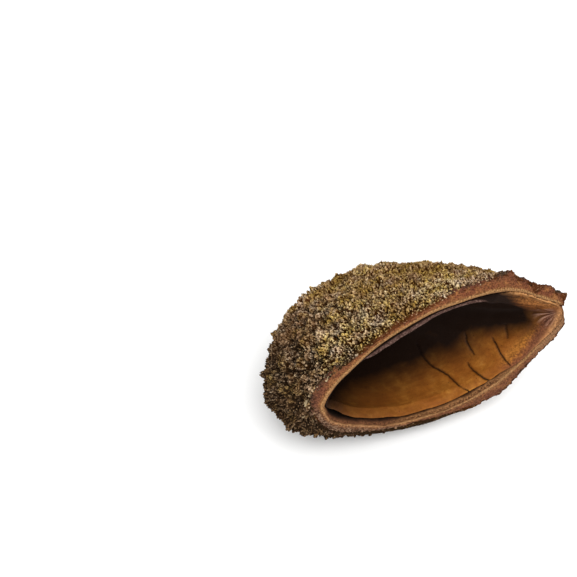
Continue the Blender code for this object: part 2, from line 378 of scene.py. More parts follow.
class Shader:
    """Short names for the shader nodes that the materials use."""

    def __init__(self, name, roughness, specular):
        self.material = bpy.data.materials.new(name)
        self.material.use_nodes = True
        self.tree = self.material.node_tree
        self.surface = self.tree.nodes["Principled BSDF"]
        self.surface.inputs["Roughness"].default_value = roughness
        self.surface.inputs["Specular IOR Level"].default_value = specular
        self.place = self.tree.nodes.new("ShaderNodeTexCoord").outputs["Object"]

    def link(self, source, target):
        if isinstance(source, (int, float, tuple)):
            target.default_value = source
        else:
            self.tree.links.new(source, target)

    def attribute(self, name):
        node = self.tree.nodes.new("ShaderNodeAttribute")
        node.attribute_name = name
        return node.outputs["Fac"]

    def stretched(self, scale):
        node = self.tree.nodes.new("ShaderNodeMapping")
        self.link(self.place, node.inputs["Vector"])
        node.inputs["Scale"].default_value = scale
        return node.outputs["Vector"]

    def noise(self, scale, detail, place=None, roughness=0.55, distortion=0.0):
        node = self.tree.nodes.new("ShaderNodeTexNoise")
        self.link(place or self.place, node.inputs["Vector"])
        node.inputs["Scale"].default_value = scale
        node.inputs["Detail"].default_value = detail
        node.inputs["Roughness"].default_value = roughness
        node.inputs["Distortion"].default_value = distortion
        return node.outputs["Fac"]

    def cells(self, scale):
        node = self.tree.nodes.new("ShaderNodeTexVoronoi")
        self.link(self.place, node.inputs["Vector"])
        node.inputs["Scale"].default_value = scale
        return node.outputs["Distance"]

    def ramp(self, source, *stops):
        node = self.tree.nodes.new("ShaderNodeValToRGB")
        self.link(source, node.inputs["Fac"])
        elements = node.color_ramp.elements
        while len(elements) < len(stops):
            elements.new(0.5)
        for element, (position, colour) in zip(elements, stops):
            element.position = position
            element.color = (*colour, 1.0)
        return node.outputs["Color"]

    def spread(self, source, low, high, to_low=0.0, to_high=1.0):
        node = self.tree.nodes.new("ShaderNodeMapRange")
        self.link(source, node.inputs["Value"])
        limits = {"From Min": low, "From Max": high, "To Min": to_low, "To Max": to_high}
        for label, value in limits.items():
            node.inputs[label].default_value = value
        return node.outputs["Result"]

    def maths(self, operation, first, second):
        node = self.tree.nodes.new("ShaderNodeMath")
        node.operation = operation
        self.link(first, node.inputs[0])
        self.link(second, node.inputs[1])
        return node.outputs["Value"]

    def ruffle(self, source, pattern, amount):
        """The source, moved up and down by as much as amount where the pattern is high or low."""
        return self.maths("ADD", source, self.spread(pattern, 0.3, 0.7, -amount, amount))

    def mix(self, factor, first, second, blend="MIX"):
        node = self.tree.nodes.new("ShaderNodeMix")
        node.data_type = "RGBA"
        node.blend_type = blend
        self.link(factor, node.inputs[0])
        for source, target in ((first, node.inputs[6]), (second, node.inputs[7])):
            self.link((*source, 1.0) if isinstance(source, tuple) and len(source) == 3 else source, target)
        return node.outputs[2]

    def bump(self, height, distance, strength):
        node = self.tree.nodes.new("ShaderNodeBump")
        node.inputs["Strength"].default_value = strength
        node.inputs["Distance"].default_value = distance
        self.link(height, node.inputs["Height"])
        self.link(node.outputs["Normal"], self.surface.inputs["Normal"])

    def colour(self, source):
        self.link(source, self.surface.inputs["Base Color"])

    def roughness(self, source):
        self.link(source, self.surface.inputs["Roughness"])


def crust_material():
    """Brown pits in a sponge whose tops go from grey through tan to olive-yellow.

    It is pinkish by the rim and pale on the chips. Its share of black is partly its own darker tone and
    partly painted shade, in creases and hollows, underneath and low down at the base.
    """
    shader = Shader("knobbly_crust", 1.0, 0.0)
    height, tone = shader.attribute("height"), shader.attribute("tone")
    grain = shader.noise(2600.0, 3.0)
    flecks = shader.noise(1500.0, 3.0, roughness=0.7)
    level = shader.ruffle(height, grain, 0.3)
    crumbs = shader.cells(1500.0)
    level = shader.maths("ADD", level, shader.spread(crumbs, 0.1, 0.6, 0.2, -0.5))
    tone = shader.ruffle(tone, flecks, 0.32)
    olive = shader.ramp(
        tone,
        (0.0, (0.08, 0.038, 0.007)),
        (0.35, (0.27, 0.15, 0.036)),
        (0.7, (0.525, 0.33, 0.082)),
        (1.0, (0.8, 0.59, 0.21)),
    )
    greyish = shader.ramp(
        tone,
        (0.0, (0.078, 0.042, 0.021)),
        (0.35, (0.265, 0.15, 0.074)),
        (0.7, (0.54, 0.36, 0.215)),
        (1.0, (0.84, 0.68, 0.49)),
    )
    tops = shader.mix(shader.attribute("hue"), greyish, olive)
    pinkish = shader.ramp(
        tone, (0.2, (0.2, 0.07, 0.026)), (0.5, (0.36, 0.17, 0.08)), (0.9, (0.66, 0.43, 0.26))
    )
    tops = shader.mix(shader.attribute("warm"), tops, pinkish)
    pits = shader.mix(shader.attribute("warm"), (0.045, 0.015, 0.002), (0.1, 0.03, 0.01))
    walls = shader.mix(0.4, pits, tops)
    low = shader.mix(shader.spread(level, 0.1, 0.45), pits, walls)
    full = shader.mix(shader.spread(level, 0.4, 0.8), low, tops)
    # The share of black, partly painted shade and partly the crust's own dark tone, lies more on low places
    # than on knob tops
    dark = shader.maths("MULTIPLY", shader.attribute("dark"), shader.spread(level, 0.35, 0.95, 1.0, 0.45))
    full = shader.mix(dark, full, (0.018, 0.011, 0.006))
    shader.colour(shader.mix(shader.attribute("pale"), full, (0.44, 0.34, 0.2)))
    shader.bump(shader.maths("SUBTRACT", grain, crumbs), 0.0003, 0.8)
    return shader.material


def rim_material():
    """A brick-brown band of broken fibres, a tan crest and the groove inside it, dark with painted shade.

    Low down the crest is split by a thin dark line, and low down and by the base the band inside it carries
    more painted shade. It is tan at the tip, and crumbly by the base.
    """
    shader = Shader("bare_rim", 0.85, 0.08)
    streaks = shader.attribute("streaks")
    grain = shader.noise(2200.0, 4.0)
    wander = shader.noise(260.0, 2.0)
    where = shader.maths("ADD", shader.attribute("across"), shader.spread(streaks, 0.0, 1.0, -0.03, 0.03))
    where = shader.ruffle(where, wander, 0.03)
    where = shader.ruffle(where, grain, 0.03)
    red = shader.ramp(
        where,
        (0.0, (0.055, 0.031, 0.017)),
        (0.13, (0.078, 0.038, 0.02)),
        (0.2, (0.15, 0.055, 0.025)),
        (0.35, (0.195, 0.068, 0.026)),
        (0.55, (0.235, 0.092, 0.033)),
    )
    purple = shader.ramp(
        where,
        (0.0, (0.055, 0.03, 0.021)),
        (0.15, (0.082, 0.036, 0.024)),
        (0.4, (0.125, 0.052, 0.03)),
        (0.55, (0.19, 0.08, 0.034)),
    )
    red = shader.mix(shader.spread(wander, 0.42, 0.62, 0.0, 0.6), red, (0.15, 0.04, 0.02))
    light_patches = shader.spread(shader.noise(430.0, 3.0), 0.52, 0.68, 0.0, 0.7)
    red = shader.mix(light_patches, red, (0.33, 0.135, 0.042))
    outer = shader.mix(shader.attribute("purple"), red, purple)
    # The crest's ramp ends in painted shade in the groove inside it
    crest = shader.ramp(
        where,
        (0.58, (0.25, 0.11, 0.038)),
        (0.67, (0.38, 0.195, 0.075)),
        (0.77, (0.33, 0.16, 0.06)),
        (0.84, (0.18, 0.075, 0.028)),
        (0.89, (0.09, 0.034, 0.014)),
        (1.0, (0.045, 0.017, 0.008)),
    )
    # Low down: the thin dark line, a second ridge, then painted shade in the groove
    low_crest = shader.ramp(
        where,
        (0.62, (0.25, 0.108, 0.04)),
        (0.68, (0.4, 0.205, 0.082)),
        (0.735, (0.34, 0.165, 0.064)),
        (0.765, (0.09, 0.034, 0.012)),
        (0.79, (0.18, 0.074, 0.027)),
        (0.84, (0.28, 0.128, 0.048)),
        (0.875, (0.1, 0.04, 0.014)),
        (0.9, (0.035, 0.013, 0.005)),
        (1.0, (0.02, 0.008, 0.004)),
    )
    # By the base the band inside the crest is painted dark as shade
    base_crest = shader.ramp(
        where,
        (0.6, (0.25, 0.108, 0.042)),
        (0.67, (0.37, 0.185, 0.08)),
        (0.72, (0.32, 0.15, 0.06)),
        (0.755, (0.11, 0.042, 0.017)),
        (0.8, (0.15, 0.058, 0.024)),
        (0.86, (0.045, 0.017, 0.008)),
        (0.91, (0.012, 0.006, 0.003)),
    )
    crest = shader.mix(shader.attribute("low"), crest, low_crest)
    crest = shader.mix(shader.attribute("inner_dark"), crest, base_crest)
    band = shader.mix(shader.spread(where, 0.52, 0.62), outer, crest)
    speckle = shader.ramp(
        grain, (0.38, (0.45, 0.4, 0.37)), (0.51, (1.0, 1.0, 1.0)), (0.66, (1.6, 1.5, 1.45))
    )
    band = shader.mix(shader.attribute("tip"), band, (0.3, 0.15, 0.07))
    crumbs = shader.ramp(
        shader.noise(1100.0, 4.0),
        (0.38, (0.03, 0.017, 0.009)),
        (0.5, (0.14, 0.07, 0.036)),
        (0.62, (0.34, 0.215, 0.125)),
    )
    band = shader.mix(shader.attribute("crumbly"), band, crumbs)
    band = shader.mix(0.9, band, speckle, "MULTIPLY")
    shader.colour(shader.mix(1.0, band, (0.79, 0.83, 0.87), "MULTIPLY"))
    shader.bump(grain, 0.00015, 0.7)
    return shader.material


def lining_material():
    """Satin golden brown with fine specks, streaks and cracks, dark staining and painted shade deep in the
    hollow, and painted shade towards the base.

    Round its edge lie the greyish lip, the pale shelf, the brown slope and the fibres of the throat, with
    painted shade along the thin edge, under the lip and deep under the shelf.
    """
    shader = Shader("smooth_lining", 0.5, 0.07)
    ring = shader.attribute("ring")
    soft = shader.noise(110.0, 3.0)
    patches = shader.noise(320.0, 4.0, distortion=0.6)
    fine = shader.noise(2400.0, 3.0)
    grain = shader.noise(1700.0, 4.0)
    long_streaks = shader.noise(1.0, 3.0, place=shader.stretched((160.0, 900.0, 900.0)))
    golden = shader.ramp(
        patches,
        (0.25, (0.18, 0.057, 0.008)),
        (0.45, (0.28, 0.098, 0.014)),
        (0.6, (0.355, 0.138, 0.022)),
        (0.8, (0.45, 0.2, 0.042)),
    )
    golden = shader.mix(shader.spread(soft, 0.35, 0.65), golden, (0.25, 0.078, 0.012))
    streak = shader.ramp(long_streaks, (0.3, (0.72, 0.68, 0.62)), (0.65, (1.08, 1.06, 1.0)))
    golden = shader.mix(0.6, golden, streak, "MULTIPLY")
    freckle = shader.ramp(fine, (0.3, (0.6, 0.55, 0.5)), (0.7, (1.3, 1.3, 1.3)))
    golden = shader.mix(0.35, golden, freckle, "MULTIPLY")
    # Painted shade: the golden lining darkens towards the base
    shade = shader.spread(shader.attribute("shade"), 0.0, 1.0, 0.0, 0.6)
    golden = shader.mix(shade, golden, (0.075, 0.026, 0.005))
    fibre = shader.attribute("fibre")
    fibres = shader.ramp(
        fibre,
        (0.3, (0.03, 0.012, 0.008)),
        (0.5, (0.11, 0.043, 0.027)),
        (0.72, (0.32, 0.17, 0.11)),
    )
    where = shader.ruffle(shader.ruffle(ring, grain, 0.06), patches, 0.06)
    speckle = shader.ramp(
        grain, (0.35, (0.36, 0.3, 0.26)), (0.52, (1.0, 1.0, 1.0)), (0.7, (1.7, 1.6, 1.5))
    )
    # The shelf's ramp: painted shade in the groove by the crest, tan, then darker deep in with staining and
    # painted shade
    shelf = shader.ramp(
        where,
        (0.24, (0.08, 0.032, 0.013)),
        (0.29, (0.38, 0.185, 0.072)),
        (0.38, (0.42, 0.215, 0.085)),
        (0.45, (0.18, 0.074, 0.024)),
        (0.58, (0.24, 0.096, 0.028)),
        (0.7, (0.15, 0.052, 0.014)),
        (0.82, (0.05, 0.018, 0.006)),
        (0.92, (0.014, 0.007, 0.004)),
    )
    furrows = shader.ramp(fibre, (0.3, (0.35, 0.32, 0.3)), (0.6, (1.15, 1.1, 1.05)))
    shelf = shader.mix(0.7, shelf, furrows, "MULTIPLY")
    shelf = shader.mix(0.8, shelf, speckle, "MULTIPLY")
    colour = shader.mix(shader.attribute("shelf"), golden, shelf)
    sloped = shader.ramp(
        where,
        (0.22, (0.26, 0.12, 0.05)),
        (0.32, (0.36, 0.18, 0.078)),
        (0.44, (0.3, 0.135, 0.054)),
        (0.53, (0.17, 0.066, 0.03)),
        (0.62, (0.14, 0.05, 0.024)),
        (0.73, (0.19, 0.068, 0.024)),
        (0.86, (0.29, 0.11, 0.021)),
    )
    sloped = shader.mix(0.65, sloped, speckle, "MULTIPLY")
    colour = shader.mix(shader.attribute("slope"), colour, sloped)
    colour = shader.mix(shader.attribute("throat"), colour, fibres)
    # Dark stain and painted shade over the deep and upper hollow
    stain_and_shade_share = shader.ramp(
        shader.ruffle(shader.attribute("stain_and_shade"), soft, 0.07),
        (0.05, (0.0, 0.0, 0.0)),
        (0.5, (0.5, 0.5, 0.5)),
        (0.95, (1.0, 1.0, 1.0)),
    )
    colour = shader.mix(stain_and_shade_share, colour, (0.0125, 0.0058, 0.0034))
    specks = shader.spread(shader.cells(700.0), 0.09, 0.14, 0.75, 0.0)
    specks = shader.maths("MULTIPLY", specks, shader.spread(shader.noise(420.0, 2.0), 0.5, 0.6))
    colour = shader.mix(specks, colour, (0.035, 0.012, 0.004))
    lip = shader.ramp(
        grain, (0.3, (0.022, 0.01, 0.007)), (0.5, (0.08, 0.042, 0.033)), (0.7, (0.19, 0.115, 0.092))
    )
    colour = shader.mix(shader.attribute("lip"), colour, lip)
    # Painted shade: near black along the thin edge, in the groove under the lip and at the lip's corner
    colour = shader.mix(shader.attribute("edge"), colour, (0.009, 0.004, 0.0025))
    colour = shader.mix(shader.attribute("chip"), colour, (0.5, 0.3, 0.16))
    shader.colour(shader.mix(shader.attribute("crack"), colour, (0.007, 0.003, 0.002)))
    dull = shader.attribute("shelf")
    for part in ("slope", "lip", "throat"):
        dull = shader.maths("ADD", dull, shader.attribute(part))
    dull = shader.spread(dull, 0.0, 1.0, 0.0, 0.45)
    shader.roughness(shader.maths("ADD", shader.spread(fine, 0.3, 0.7, 0.45, 0.6), dull))
    shader.bump(shader.mix(0.5, patches, fine), 0.00012, 0.35)
    return shader.material


def scatter(points, spacing, draw):
    """Picks some of these points at random, no two closer than spacing."""
    kept, taken = [], {}
    for index in draw.permutation(len(points)):
        point = points[index]
        cell = tuple(int(part // spacing) for part in point)
        near = (
            other
            for i in (-1, 0, 1)
            for j in (-1, 0, 1)
            for k in (-1, 0, 1)
            for other in taken.get((cell[0] + i, cell[1] + j, cell[2] + k), ())
        )
        if all(math.dist(point, other) >= spacing for other in near):
            taken.setdefault(cell, []).append(tuple(point))
            kept.append(index)
    return np.array(kept)


def over_edge(reach):
    """How far reach has gone over the mouth's edge: 0 at the edge and 1 where the crust ends."""
    return unit((reach - 1.0) / CRUST_WRAP)


def crust_base(angle, reach):
    """The crust's floor: over the body to reach 1, then over the mouth's edge to where the crust ends."""
    over = over_edge(reach)
    body = body_point(angle, unit(1.0 - reach))
    out = around(FLARE, angle)
    inset = -out + (around(CRUST_EDGE, angle) + EDGE_TUCK + out) * over
    depth = band_depth(angle, inset) - EDGE_LIFT + EDGE_TURN * smooth_step(0.55, 1.0, over)
    depth = depth * smooth_step(0.0, 0.25, over)
    return np.where((reach > 1.0)[..., None], rim_point(angle, inset, depth), body)


def band_depth(angle, inset):
    """How far behind the mouth's plane the bare band lies between the margin and the crest."""
    out, crest = around(FLARE, angle), around(CREST, angle)
    share = (inset + out) / np.maximum(crest + out, 0.5)
    return np.interp(share, *np.array(BAND_DEPTH).T)


def near_line(spots, line):
    """How far each spot lies from a line through these points."""
    best = np.full(spots.shape[:-1], np.inf)
    for start, end in zip(np.array(line[:-1]), np.array(line[1:])):
        along = end - start
        share = unit((spots - start) @ along / (along @ along))
        best = np.minimum(best, np.linalg.norm(spots - start - share[..., None] * along, axis=-1))
    return best


def grow_knobs(base):
    """How high each point stands in the sponge of knobs, and the tone of its own knob."""
    draw = np.random.default_rng(KNOB_SEED)
    spots = base[1:-1, 1:-1].reshape(-1, 3)[::2]
    centres = spots[scatter(spots, KNOB_SPACING, draw)]
    tone = draw.uniform(0.0, 1.0, len(centres))
    tall = draw.uniform(0.75, 1.2, len(centres))
    tree = tree_of(centres)
    wander = base + KNOB_WANDER * np.stack([noise_at(base, 0.9, seed) for seed in (2, 3, 4)], axis=-1)
    found = [tree.find_n(spot, 2) for spot in wander.reshape(-1, 3).tolist()]
    shape = base.shape[:-1]
    nearest = np.array([pair[0][1] for pair in found]).reshape(shape)
    middle, border = (np.array([pair[side][2] for pair in found]).reshape(shape) for side in (0, 1))
    seam = smooth_step(0.0, KNOB_WALL, (border - middle) / 2)
    sponge = noise_at(base, PIT_SIZE, 20) + 0.5 * noise_at(base, PIT_SIZE / 2, 21)
    sponge = sponge + 0.35 * noise_at(base, 2.6, 22)
    solid = smooth_step(-0.5, 0.15, sponge + 0.2 * (seam - 0.6))
    height = solid * (0.5 + 0.5 * tall[nearest]) * (0.75 + 0.25 * seam)
    return height + 0.2 * noise_at(base, GRIT_SIZE, 5), tone[nearest]


def crust_marks(base):
    """How far each point is from the swelling, and its share of the dent, the crevice and a pale chip."""
    from_swelling = distance_from(base, SWELLING) / SWELLING_SIZE
    dent = np.exp(-((distance_from(base, DENT) / DENT_SIZE) ** 2))
    crevice = np.exp(-((near_line(base, CREVICE) / CREVICE_WIDTH) ** 2))
    ragged = 0.5 * noise_at(base, 0.9, 26)
    pale = sum(
        smooth_step(1.15 * size, 0.8 * size, distance_from(base, spot) + ragged) for *spot, size in CHIPS
    )
    return from_swelling, dent, crevice, pale


def make_crust():
    angle, disc = disc_grid(CRUST_CELLS)
    reach = disc * (1.0 + CRUST_WRAP)
    base = crust_base(angle, reach)
    normals = grid_normals(base, outward=True)
    x, rise = base[..., 0], unit(1.0 - reach)
    settle = smooth_step(0.0, 0.3, over_edge(reach))
    free = 1.0 - 0.75 * settle
    rough = smooth_step(0.0, -35.0, x)
    clump, cluster = np.abs(noise_at(base, CLUMP_SIZE, 1)), np.abs(noise_at(base, CLUSTER_SIZE, 25))
    lumps = 0.8 * noise_at(base, LUMP_SIZE) + (1.7 + 1.5 * rough) * clump + 1.2 * cluster
    # Painted shade in the creases between clumps, stronger towards the base
    crease = smooth_step(0.3, 0.0, clump) * (0.12 + 0.75 * rough)
    height, knob_tone = grow_knobs(base)
    bare = bare_at(angle, reach, base)
    height = height * (1.0 - 0.4 * bare) * (1.0 - 0.35 * settle)
    low_margin = smooth_step(196.0, 214.0, np.degrees(angle) % 360.0) * smooth_step(0.09, 0.02, rise)
    calm = 1.0 - 0.65 * low_margin
    from_swelling, dent, crevice, pale = crust_marks(base)
    push = lumps * free * calm + CRUST_RISE * free
    push = push - PIT_DEPTH * (1.0 - 0.6 * settle) * calm * (1.0 - height)
    push = push + SWELLING_HEIGHT * np.exp(-(from_swelling**2)) - DENT_DEPTH * dent
    push = push - CREVICE_DEPTH * crevice + CHIP_HEIGHT * pale
    points = base + normals * push[..., None]
    sunk = np.minimum(lie_down(points)[..., 2] - GROUND_GAP, 0.0)
    points = points - sunk[..., None] * TURN[2]
    region_tone, region_dark = crust_tone(base, angle)
    # Painted shade: darker where the crust faces down or towards the base
    facing = normals @ TURN.T
    faces_down = smooth_step(0.4, -0.3, facing[..., 2]) * smooth_step(5.0, -20.0, x)
    faces_base = smooth_step(0.5, 0.95, -facing[..., 0])
    region_dark = region_dark + 0.65 * faces_down + 0.5 * faces_base
    # Painted shade in the crevice and the creases; darker round the swelling too
    dark = region_dark + 0.8 * crevice + crease + 0.45 * np.exp(-((from_swelling / 1.3) ** 2))
    edge_of_tip = smooth_step(10.0, 25.0, x) * smooth_step(0.16, 0.04, rise)
    hue = 0.65 + 0.9 * noise_at(base, 4.0, 23) + 0.4 * noise_at(base, 1.2, 24) - 0.7 * edge_of_tip
    hue = hue - 0.6 * smooth_step(-16.0, -42.0, x) - 0.6 * low_margin
    attributes = {
        "height": np.clip(height, 0.0, 1.2),
        "tone": unit(region_tone + 0.4 * (knob_tone - 0.5) - 0.12 * edge_of_tip),
        "warm": unit(0.95 * bare + 0.4 * (knob_tone > 0.9)),
        "hue": unit(hue),
        "dark": np.clip(dark, 0.0, 0.9),
        "pale": np.clip(pale, 0.0, 0.9),
    }
    material = crust_material()
    quads = grid_quads(*angle.shape, closed=False)
    strip = np.minimum(quads[:, 0] // angle.shape[1] * 4 // CRUST_CELLS, 3)
    for index, name in enumerate(("crust_a", "crust_b", "crust_c", "crust_d")):
        make_piece(name, points, quads[strip == index], True, material, attributes)


def bare_at(angle, reach, base):
    """How bare and reddish the crust is: the ragged strip where it gives way to the rim."""
    width = 0.42 + 0.3 * noise_at(base, 2.5, 6) + 1.3 * bump_at(angle, 26, 28)
    width = width + 0.3 * bump_at(angle, 98, 30) - 0.5 * bump_at(angle, 250, 30)
    start = 1.0 + CRUST_WRAP * (1.0 - width)
    return smooth_step(start - 0.012, start + 0.02, reach)


def crust_tone(base, angle):
    """The tone of the knobs' tops, 0 dark grey to 1 pale yellow, and the share of black over them, which is
    partly their own darker tone and partly painted shade towards the base, underneath and at the base's end.
    """
    x, y, z = np.moveaxis(base, -1, 0)
    broad, patches = noise_at(base, 14.0, 7), noise_at(base, 5.0, 8)
    upper = smooth_step(-12.0, 14.0, z + 0.15 * y)
    to_tip = smooth_step(-54.0, -16.0, x)
    lower_edge = between(LOWER_EDGE, np.degrees(angle) % 360.0) * smooth_step(7.0, 1.5, y)
    near_rim = smooth_step(16.0, 6.0, y) * smooth_step(-44.0, -30.0, x)
    tone = 0.3 + 0.1 * upper + 0.15 * to_tip + 0.16 * near_rim * upper + 0.18 * broad + 0.18 * patches
    tone = tone + 0.06 * smooth_step(5.0, -15.0, x) - 0.15 * lower_edge
    tone = tone + 0.07 * upper * np.exp(-(((x + 24.0) / 12.0) ** 2))
    # Painted shade: darker towards the base, less on the upper side, and underneath by the base
    under = smooth_step(2.0, -8.0, z) * smooth_step(-15.0, -30.0, x)
    dark = 0.6 * (1.0 - to_tip) * (1.0 - 0.6 * upper) + 0.12 * patches + 0.65 * lower_edge + 0.4 * under
    dark = dark + 0.25 * bump_at(angle, 24, 18) * smooth_step(4.0, 0.0, y)
    # Painted shade in the lower corner by the base and at the base's far end
    corner = smooth_step(1.0, 12.0, y) * smooth_step(-18.0, -34.0, x)
    dark = dark + 0.55 * corner * smooth_step(8.0, -6.0, z) + 0.25 * smooth_step(-36.0, -46.0, x)
    return tone, np.clip(dark, 0.0, 0.9)


def smooth_curve(controls, samples):
    """A Catmull-Rom curve through the controls, sampled evenly in its own measure."""
    controls = np.array(controls, float)
    padded = np.vstack((2 * controls[0] - controls[1], controls, 2 * controls[-1] - controls[-2]))
    measure = np.linspace(0.0, len(controls) - 1.0, samples)
    span = np.minimum(measure.astype(int), len(controls) - 2)
    t = (measure - span)[:, None]
    before, start, end, after = (padded[span + shift] for shift in range(4))
    bend = 2 * before - 5 * start + 4 * end - after
    twist = 3 * start - before - 3 * end + after
    return 0.5 * (2 * start + (end - before) * t + bend * t**2 + twist * t**3)


def rim_wave(angle):
    """How the rim waves gently in and out of the mouth's plane."""
    return WAVE_HEIGHT * noise_at(along_rim(angle, 0.0 * angle), WAVE_LENGTH, 9)


# The rim across its width. Up to the crest: share of the way there, millimetres further in, and depth.
# Past it: 1, share of the band's width, and depth.
CREST_CONTROL = 7
RIM_CONTROLS = (
    (0.0, 1.2, 2.4),
    (0.0, 0.5, 1.2),
    (0.0, 0.15, 0.45),
    (0.0, 0.3, -0.1),
    (0.3, 0.1, -0.55),
    (0.6, 0.0, -0.95),
    (0.85, 0.0, -1.2),
    (1.0, 0.0, -1.35),
    (1.0, 0.4, -1.15),
    (1.0, 0.8, -0.55),
    (1.0, 1.0, 0.2),
    (1.0, 1.04, 1.6),
    (1.0, 1.08, 3.0),
)


def make_rim():
    profile = smooth_curve(RIM_CONTROLS, RIM_ROWS)
    last_control = len(RIM_CONTROLS) - 1.0
    column = np.linspace(0.0, math.tau, RIM_COLUMNS, endpoint=False)
    angle = np.repeat(column[:, None], len(profile), axis=1)
    degrees = np.degrees(angle)
    out, crest = around(FLARE, column)[:, None], around(CREST, column)[:, None]
    place = np.linspace(0.0, last_control, len(profile))
    outside = np.clip((crest + out) / 3.0, 0.1, 1.0)
    wide = np.where(place > CREST_CONTROL, around(BAND, column)[:, None], outside)
    start = np.maximum(-out, around(CRUST_EDGE, column)[:, None] - 1.0)
    inset = start + profile[:, 0] * (crest - start) + profile[:, 1] * wide
    depth = profile[:, 2] + rim_wave(column)[:, None]
    base = rim_point(angle, inset, depth)
    normals = grid_normals(base, outward=True)
    grain = noise_at(base, 0.5, 10)
    coarse = noise_at(base, 1.4, 11)
    fibres = noise_at(along_rim(angle, 4.0 * inset), (5.0, 1.0, 5.0), 12)
    outer = 1.0 - smooth_step(0.75, 0.95, profile[:, 0])
    crumbly = between(CRUMBLY_MARGIN, degrees)
    margin = (1.0 - smooth_step(0.0, 0.45, profile[:, 0])) * (1.0 + crumbly)
    push = outer * (0.14 * grain + 0.22 * coarse) + 0.2 * margin * (grain + 2.0 * coarse)
    push = push + 0.1 * fibres + 0.03 * grain
    points = base + normals * push[..., None]
    valley = np.exp(-((base[..., 2] / VALLEY_WIDTH) ** 2)) * (base[..., 0] > 0.0)
    points[..., 1] += valley
    share = np.interp(place, (2.0, CREST_CONTROL, last_control), (0.0, 0.7, 1.0))
    purple = bump_at(angle, 190, 40) + 0.25 * bump_at(angle, 285, 50)
    attributes = {
        "across": np.broadcast_to(share, inset.shape),
        "crumbly": 0.75 * crumbly * smooth_step(0.62, 0.35, share + 0.1 * fibres),
        "tip": 0.85 * smooth_step(312.0, 334.0, degrees) * smooth_step(0.12, 0.3, share),
        "inner_dark": between(DARK_INNER, degrees),
        "streaks": 0.5 + 0.5 * fibres,
        "purple": unit(purple),
        "low": between(LOW_RIDGE, degrees),
    }
    quads = grid_quads(*angle.shape, closed=True)
    make_piece("rim", points, quads, True, rim_material(), attributes)


# The lining's edge, as (millimetres in from the band, depth): a lip on the upper side, a thin edge low
# down, a shelf over the throat and a slope that flows from the crest into the hollow
EDGE_SAMPLES = 64
LIP = (
    (0.35, 2.8), (0.55, 1.7), (0.8, 0.8), (1.0, 0.35), (1.6, 0.1), (2.5, 0.15), (3.15, 0.45),
    (3.4, 1.4),
)
THIN_EDGE = (
    (0.1, 2.2), (0.15, 1.0), (0.25, 0.4), (0.45, 0.25), (0.8, 0.5), (1.2, 1.2), (1.6, 2.1), (2.0, 3.2),
)
SHELF = (
    (-0.35, 1.6), (-0.3, 0.2), (-0.15, -0.75), (0.5, -1.0), (2.4, -0.2), (4.5, 0.8), (6.2, 2.2),
    (6.7, 4.4),
)
SLOPE = (
    (-0.2, 1.5), (-0.1, 0.0), (0.1, -1.0), (0.85, -0.95), (1.95, -0.1), (3.05, 1.0), (4.05, 2.5),
    (4.85, 4.2),
)


def edge_weights(angle):
    """How much of the lip, the thin edge, the shelf and the slope there is at each angle."""
    degrees = (np.degrees(angle) + 180.0) % 360.0 - 180.0
    lip, shelf, slope = (between(span, degrees) for span in (LIP_SPAN, SHELF_SPAN, SLOPE_SPAN))
    return lip, 1.0 - lip - shelf - slope, shelf, slope


def lining_base(angle, ring):
    """The lining: ring is 0 at its hidden outer edge, 1 at the lip's inner edge and 2 deep in the hollow."""
    weights = edge_weights(angle)
    curves = [smooth_curve(controls, EDGE_SAMPLES) for controls in (LIP, THIN_EDGE, SHELF, SLOPE)]
    samples = np.arange(EDGE_SAMPLES)
    place = unit(ring) * (EDGE_SAMPLES - 1.0)
    inset, depth = (
        sum(weight * np.interp(place, samples, curve[:, side]) for weight, curve in zip(weights, curves))
        for side in (0, 1)
    )
    gap = around(GAP, angle)
    inset = inset * (1.0 - weights[0] + weights[0] * around(LIP_WIDE, angle))
    inset = inset + around(CREST, angle) + around(BAND, angle) + gap
    depth = depth + 0.3 * gap + rim_wave_at(angle)
    edge = rim_point(angle, inset, depth)
    climb = unit(ring - 1.0) * math.pi / 2
    x, z = np.cos(climb) * edge[..., 0], np.cos(climb) * edge[..., 2]
    deep = (depth_at(x) - WALL - edge[..., 1]) * np.sin(climb) ** RISE_POWER
    far = np.hypot(BODY_LENGTH / 2 - x, z)
    limit = np.maximum(THROAT_START + THROAT_SLOPE * far + THROAT_CURVE * far**2 - edge[..., 1], 0.01)
    deep = (np.maximum(deep, 1e-6) ** -4.0 + limit**-4.0) ** -0.25
    return np.stack((x - LEAN_TO_BASE * deep, edge[..., 1] + deep, z), axis=-1)


def rim_wave_at(angle):
    """The rim's wave, read from a circle of samples so that it costs little on a grid."""
    column = np.linspace(0.0, math.tau, 721)
    return np.interp(angle % math.tau, column, rim_wave(column))


# Cracks in the lining, as points in the shell's own frame
CRACKS = (
    (
        (2.6, 24.2, -13.9), (2.4, 20.0, -15.8), (3.3, 15.4, -16.9), (4.9, 12.2, -17.3), (6.3, 9.1, -17.6),
        (7.1, 5.6, -18.1), (7.7, 3.2, -18.2), (9.3, 0.7, -18.6),
    ),
    ((17.3, 15.9, -10.4), (16.5, 14.1, -12.1), (16.5, 12.3, -13.3), (16.7, 10.2, -14.5)),
    ((13.8, 9.3, -16.2), (13.9, 6.7, -16.9), (15.0, 2.6, -16.8), (16.2, 0.6, -17.3), (17.4, -0.5, -17.7)),
    ((23.8, 9.2, -10.2), (23.6, 6.1, -11.0), (23.5, 2.2, -12.8), (24.4, -0.3, -14.6)),
    ((29.1, 9.3, -7.3), (28.4, 7.2, -8.8), (27.7, 5.5, -9.6)),
)
CRACK_SAMPLES = 240
CRACK_WIDTH = 0.36
CRACK_DEPTH = 0.55
CRACK_WAVE = 0.06
CRACK_REACH = 2.5
DARK_SPECK = (4.6, 5.8, -18.3)
PALE_CHIP = (11.2, 7.8, -16.9)


